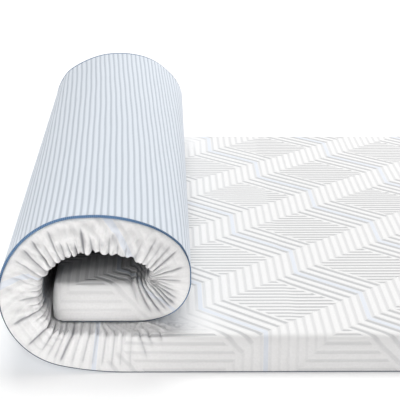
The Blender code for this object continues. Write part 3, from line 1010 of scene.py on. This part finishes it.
def ribbed_knit():
    material, tree, shader = new_material("ribbed_knit_cloth", 0.85, 0.10)
    place = on_points(tree, "cloth")
    crest = split(place)[2]
    knit = use_group(KNIT, Place=place, Loop_Width=0.0022, Loop_Length=0.0042, Unevenness=0.7)
    # painted shade in the dips between the ribs
    colour = blend_colour(spread(crest, 0.10, 0.80), RIB_DIP_SHADE, RIB_CREST)
    dash = times(calc("SUBTRACT", 1.0, knit["Height"]), DASH_SHARE)
    colour = blend_colour(dash, colour, DASH_COLOUR)
    wire(colour, shader.inputs["Base Color"])
    wire(bump(knit["Height"], 0.35, 0.0005).outputs["Normal"], shader.inputs["Normal"])
    return material


RIBBED_KNIT = ribbed_knit()
print("made", RIBBED_KNIT.name)

# %% the underside laid out flat
PANEL_THICK = 0.0022
PANEL_INSET = 0.0053
RIB_DEPTH = 0.0015
RIB_SKEW = 0.066
# lines to each rib, and where the ribs start to be modelled, just before the roll
RIB_PARTS = 7.0
RIBS_FROM = FLAT_RUN - 0.054
PANEL_RINGS = [
    # (way outwards, height)
    (EDGE - PANEL_INSET - 0.0006, 0.0004), (EDGE - PANEL_INSET, 0.0012),
    (EDGE - PANEL_INSET - 0.0004, PANEL_THICK),
]


def rib_lines():
    """Lines along the topper: seven to a rib on the roll, few under the flat run."""
    lines = low_steps + list(np.linspace(0.03, RIBS_FROM - 0.006, 90))
    count = int((LENGTH - EDGE - ROOM - RIBS_FROM) / (RIB_PITCH / RIB_PARTS))
    lines += [RIBS_FROM + index * RIB_PITCH / RIB_PARTS for index in range(count)]
    return lines + mirrored(low_steps, LENGTH)


def flat_underside():
    bm, start, push = new_layer()
    along, near_lines = rib_lines(), low_steps + [0.03, 0.05]
    across = near_lines + list(np.linspace(0.08, WIDTH - 0.08, 48))
    across += mirrored(near_lines, WIDTH)
    lay_grid(bm, along, across, start, push)
    aim_border(bm, (along[0], across[0]), (along[-1], across[-1]), start, push)
    edges = add_rings(bm, PANEL_RINGS, start, push)
    close_behind(bm, edges, push)
    return to_layer_mesh(bm, "underside")


underside_mesh = flat_underside()
print("flat underside", len(underside_mesh.vertices), "points")


# %% raise its ribs, then roll it up
def rib_wander(s, w):
    """How far each rib strays from a straight line across the topper, in metres. The sheet is
    pulled a little askew, more and more towards the back."""
    number = np.rint(s / RIB_PITCH)
    slow = np.sin(w * 7.0 + number * 0.37) + 0.6 * np.sin(w * 15.0 - number * 0.9 + 1.0)
    return 0.0006 * slow + 0.0016 * np.sin(w * 3.1 + s * 5.0) + RIB_SKEW * (w / WIDTH) ** 1.15


def shape_underside(mesh):
    flat, start = read_points(mesh), read_points(mesh, "start")
    ring = np.rint(start[:, 2]).astype(int)
    phase = (flat[:, 0] + rib_wander(flat[:, 0], flat[:, 1])) / RIB_PITCH
    crest = 1.0 - (0.5 - 0.5 * np.cos(2.0 * math.pi * phase)) ** 1.8
    shaped = flat.copy()
    shaped[:, 2] += np.where(ring == 0, RIB_DEPTH * (1.0 - crest), 0.0)
    write_points(mesh, roll_up(shaped))
    write_layer(mesh, "cloth", np.stack([flat[:, 0], flat[:, 1], crest], axis=1))


shape_underside(underside_mesh)
underside = finish_piece(underside_mesh, "ribbed_underside", RIBBED_KNIT)
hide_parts("bottom_panel")


# %% [markdown]
# ## The piping
# A blue cord about 5 mm thick is sewn into the seam between the cover and the underside, once
# round the whole topper. A curve with a bevel would give the tube, but the twist of its yarn
# has to follow it, so the tube is extruded ring by ring, and each point keeps how far along
# and how far round the cord it is.

# %% material of the cord
YARN_LAY = 0.0036
YARN_BLUES = (0.050, 0.120, 0.245, 1.0), (0.155, 0.275, 0.455, 1.0)
# where the cord lies tucked under the cover, it gets a dark blue painted shade
CORD_SHADE_BLUE, CORD_SHADE_SHARE = (0.020, 0.028, 0.045, 1.0), 0.80


def blue_cord():
    material, tree, shader = new_material("blue_cord_yarn", 0.62, 0.25)
    along, cosine, sine = split(on_points(tree, "yarn"))
    angle = times(along, 2.0 * math.pi / YARN_LAY)
    twist = calc("ADD", times(calc("SINE", angle), cosine), times(calc("COSINE", angle), sine))
    strand = spread(twist, -0.9, 0.5)
    # painted shade where the cord lies under the cover's edge, read from the layer pressed
    dark = times(split(on_points(tree, "pressed"))[0], CORD_SHADE_SHARE)
    colour = blend_colour(dark, blend_colour(strand, *YARN_BLUES), CORD_SHADE_BLUE)
    wire(colour, shader.inputs["Base Color"])
    wire(bump(strand, 0.5, 0.0004).outputs["Normal"], shader.inputs["Normal"])
    return material


BLUE_CORD = blue_cord()
print("made", BLUE_CORD.name)

# %% the cord's middle line
CORD_RADIUS = 0.0024
CORD_INSET = 0.0022
CORD_HEIGHT = 0.0019
CORNER_RADIUS = EDGE_ROUND - 0.0005
# where it is pressed, it moves in under the cover and down
CORD_TUCK, CORD_DROP = 0.0046, 0.0005


def corner_arc(s, w, first):
    """Flat points of a quarter circle round this centre, without its two ends."""
    angles = [math.radians(first + step) for step in range(15, 90, 15)]
    return [(s + CORNER_RADIUS * math.cos(a), w + CORNER_RADIUS * math.sin(a)) for a in angles]


def cord_line():
    """Points once round the edge, with round corners, and what tucked says of each."""
    low_s, high_s = CORD_INSET, LENGTH - CORD_INSET
    low_w, high_w = CORD_INSET, WIDTH - CORD_INSET
    near_s, far_s = low_s + CORNER_RADIUS, high_s - CORNER_RADIUS
    near_w, far_w = low_w + CORNER_RADIUS, high_w - CORNER_RADIUS
    side = [near_s, 0.35, 0.70, 1.0] + list(np.linspace(FLAT_RUN, ROLL_END, 260))
    side += [ROLL_END + 0.03, ROLL_END + 0.08, LENGTH - END_CURL_LENGTH]
    side += [LENGTH - END_CURL_LENGTH + 0.004, far_s]
    line = [(s, low_w) for s in side] + corner_arc(far_s, near_w, -90.0)
    line += [(high_s, near_w), (high_s, far_w)] + corner_arc(far_s, far_w, 0.0)
    line += [(s, high_w) for s in reversed(side)] + corner_arc(near_s, far_w, 90.0)
    line += [(low_s, far_w), (low_s, near_w)] + corner_arc(near_s, near_w, 180.0)
    flat = np.array(line)
    low, dark, square = tucked(flat[:, 0])
    inward = np.where(flat[:, 1] < WIDTH / 2.0, 1.0, -1.0) * ease(
        np.abs(flat[:, 1] - WIDTH / 2.0), WIDTH / 2.0 - 0.03, WIDTH / 2.0 - 0.01)
    backward = ease(-flat[:, 0], -0.03, -0.01) - ease(flat[:, 0], LENGTH - 0.03, LENGTH - 0.01)
    flat = flat + CORD_TUCK * low[:, None] * np.stack([backward, inward], axis=1)
    height = CORD_HEIGHT - CORD_DROP * low
    return roll_up(np.column_stack([flat, height])), low, dark, square


CORD_LINE, CORD_PRESSED, CORD_SHADE_AMOUNT, CORD_SQUARE = cord_line()
print("cord line with", len(CORD_LINE), "points")


# %% the tube round that line
CORD_SIDES = 12
# where it is pressed, it is this much flatter; where it is free, it is this much thicker
FLATTER, FREE_THICKER = 0.45, 0.12


def twisted_tube(line, pressed, dark, square):
    """A closed tube round a closed line, flatter where it is pressed. Each point keeps its
    length along the cord, its turn round it, and how much painted shade it gets."""
    ahead = np.roll(line, -1, axis=0) - np.roll(line, 1, axis=0)
    ahead /= np.linalg.norm(ahead, axis=1)[:, None]
    steps = np.linalg.norm(np.roll(line, -1, axis=0) - line, axis=1)
    length = np.concatenate([[0.0], np.cumsum(steps)[:-1]])
    bm = bmesh.new()
    mark = bm.verts.layers.float_vector.new("yarn")
    # the cord's painted shade, kept in a layer called pressed
    under = bm.verts.layers.float_vector.new("pressed")
    circle = bmesh.ops.create_circle(bm, segments=CORD_SIDES, radius=1.0)["verts"]
    for vert in circle:
        angle = math.atan2(vert.co.y, vert.co.x)
        vert[mark] = (0.0, math.cos(angle), math.sin(angle))
    first = edges = bm.edges[:]
    aside = np.cross(ahead[0], (0.0, 0.0, 1.0))
    for index in range(len(line)):
        if index:
            grown = bmesh.ops.extrude_edge_only(bm, edges=edges)["geom"]
            circle = [item for item in grown if isinstance(item, bmesh.types.BMVert)]
            edges = [item for item in grown if isinstance(item, bmesh.types.BMEdge)
                     and all(v in circle for v in item.verts)]
        aside = aside - ahead[index] * float(np.dot(aside, ahead[index]))
        aside /= np.linalg.norm(aside)
        upward = np.cross(ahead[index], aside)
        radius = CORD_RADIUS * (1.0 + FREE_THICKER * (1.0 - pressed[index]))
        flatter = FLATTER * pressed[index] * square[index]
        for vert in circle:
            _, cosine, sine = vert[mark]
            way = aside * cosine + upward * sine
            way = way - flatter * float(np.dot(way, square[index]))
            vert.co = line[index] + radius * way
            vert[mark] = (length[index], cosine, sine)
            vert[under] = (dark[index], dark[index], dark[index])
    bmesh.ops.bridge_loops(bm, edges=first + edges)
    bmesh.ops.recalc_face_normals(bm, faces=bm.faces[:])
    return to_mesh(bm, "piping_cord")


tube = twisted_tube(CORD_LINE, CORD_PRESSED, CORD_SHADE_AMOUNT, CORD_SQUARE)
piping = finish_piece(tube, "piping_cord", BLUE_CORD)
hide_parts("piping")


# %% [markdown]
# ## Floor, light and camera
# The topper lies on a plain, very pale floor in even studio light. The floor is so wide that
# its edge stays out of sight from low angles too. A bright world gives the soft fill, and a
# wide soft sun above makes the top a little brighter than the sides. One big lamp could do all
# the rest, but it would fill the folds and the hollow of the roll with light. So there is a
# weak warm lamp low in front, a narrow one that reaches into the hollow, and one behind for
# the far part of the top. The camera stands low in front, with a long lens.

# %% floor
FLOOR_GREYS = (0.73, 0.73, 0.73, 1.0), (0.75, 0.75, 0.75, 1.0)
FLOOR_GLOW = 0.31
FLOOR_SIZE = 45.0


def pale_floor():
    material, tree, shader = new_material("pale_floor", 0.9, 0.0)
    coords = tree.nodes.new("ShaderNodeTexCoord")
    grain = noise(coords.outputs["Object"], 3.0)
    wire(blend_colour(grain, *FLOOR_GREYS), shader.inputs["Base Color"])
    shader.inputs["Emission Color"].default_value = (1.0, 1.0, 1.0, 1.0)
    shader.inputs["Emission Strength"].default_value = FLOOR_GLOW
    bm = bmesh.new()
    bmesh.ops.create_grid(bm, x_segments=4, y_segments=4, size=FLOOR_SIZE)
    mesh = to_mesh(bm, "floor")
    mesh.materials.append(material)
    floor = into_scene("floor", mesh)
    return floor


floor = pale_floor()
print("floor", tuple(round(v, 2) for v in floor.dimensions))

# %% light
world = bpy.data.worlds.new("studio")
bpy.context.scene.world = world
world.use_nodes = True
world.node_tree.nodes["Background"].inputs["Color"].default_value = (0.985, 0.985, 1.0, 1.0)
world.node_tree.nodes["Background"].inputs["Strength"].default_value = 0.48


def add_lamp(light, power, colour, towards):
    """Put a light in the scene. It shines from this direction towards the origin."""
    light.energy = power
    light.color = colour
    lamp = into_scene(light.name, light)
    x, y, z = towards
    lamp.rotation_euler = (math.atan2(math.hypot(x, y), z), 0.0, math.atan2(x, -y))
    return lamp


def wide_lamp(name, place, aim, size, power, colour=(1.0, 1.0, 1.0)):
    """A square area lamp that looks at a point."""
    light = bpy.data.lights.new(name, "AREA")
    light.shape = "SQUARE"
    light.size = size
    lamp = add_lamp(light, power, colour, np.array(place) - np.array(aim))
    lamp.location = place
    return lamp


# even light from above; its wide disc gives it soft shadows
above = bpy.data.lights.new("soft_top_light", "SUN")
above.angle = math.radians(40.0)
add_lamp(above, power=2.02, colour=(1.0, 1.0, 0.99), towards=(0.08, 0.30, 0.95))
wide_lamp("front_lamp", place=(-0.95, -1.80, 0.24), aim=(-0.35, -0.8, 0.05), size=0.40,
          power=1.7, colour=(1.0, 0.965, 0.935))
narrow_lamp = wide_lamp("hollow_lamp", place=(-0.57, -1.70, 0.72), aim=(-0.50, -0.74, 0.08),
                        size=0.14, power=0.062)
narrow_lamp.data.spread = math.radians(22.0)
wide_lamp("back_lamp", place=(1.10, 1.70, 1.00), aim=(0.05, 0.30, 0.15), size=1.0, power=8.0)
print("lamps", [item.name for item in bpy.data.lights])

# %% camera
lens = bpy.data.cameras.new("camera")
lens.lens = 125.1
lens.sensor_width = 36.0
lens.shift_x = 0.053
camera = into_scene("camera", lens)
camera.location = (-0.3374, -3.254, 1.114)
# it looks down by 17.21 degrees
camera.rotation_euler = (math.radians(90.0 - 17.21), 0.0, math.radians(-0.4))
bpy.context.scene.camera = camera
bpy.context.scene.view_settings.view_transform = "Standard"
print("camera", [round(v, 3) for v in camera.location])
